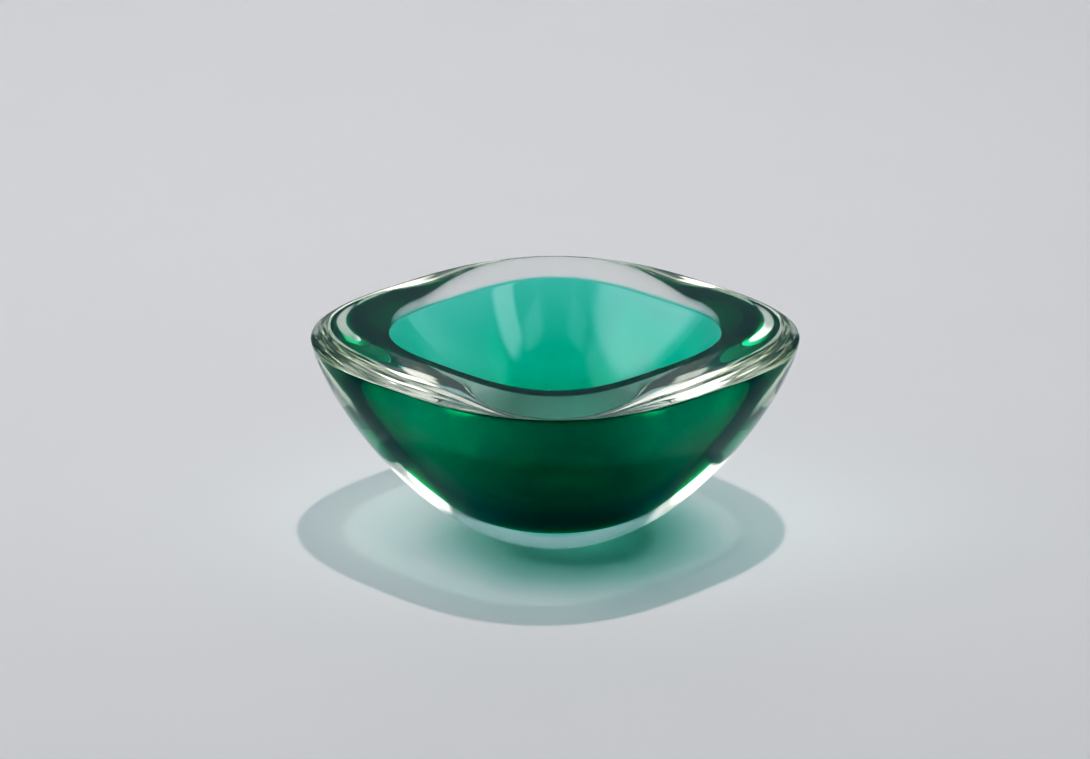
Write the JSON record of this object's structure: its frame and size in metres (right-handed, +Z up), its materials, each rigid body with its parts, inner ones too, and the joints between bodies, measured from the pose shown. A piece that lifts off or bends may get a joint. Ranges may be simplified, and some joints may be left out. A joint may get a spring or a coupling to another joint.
{
  "type": "cased art glass bowl",
  "caption": "Small heavy bowl of thick clear glass cased over a green inner cup, rounded-square plan, flat polished rim and a small ground base.",
  "frame": {"origin": "middle of the ground base, on the surface that the bowl stands on", "axes": "+Z up, +X and +Y towards two neighbouring corners of the rounded-square rim, -Y towards the viewer"},
  "size_m": [0.1198, 0.1198, 0.0486],
  "materials": {
    "clear_glass": "polished, colourless with a faint grey-green body tint",
    "green_glass": "polished, dense emerald green"
  },
  "bodies": {
    "root": {"clear_casing": "clear_glass", "green_cup": "green_glass"}
  },
  "joints": []
}
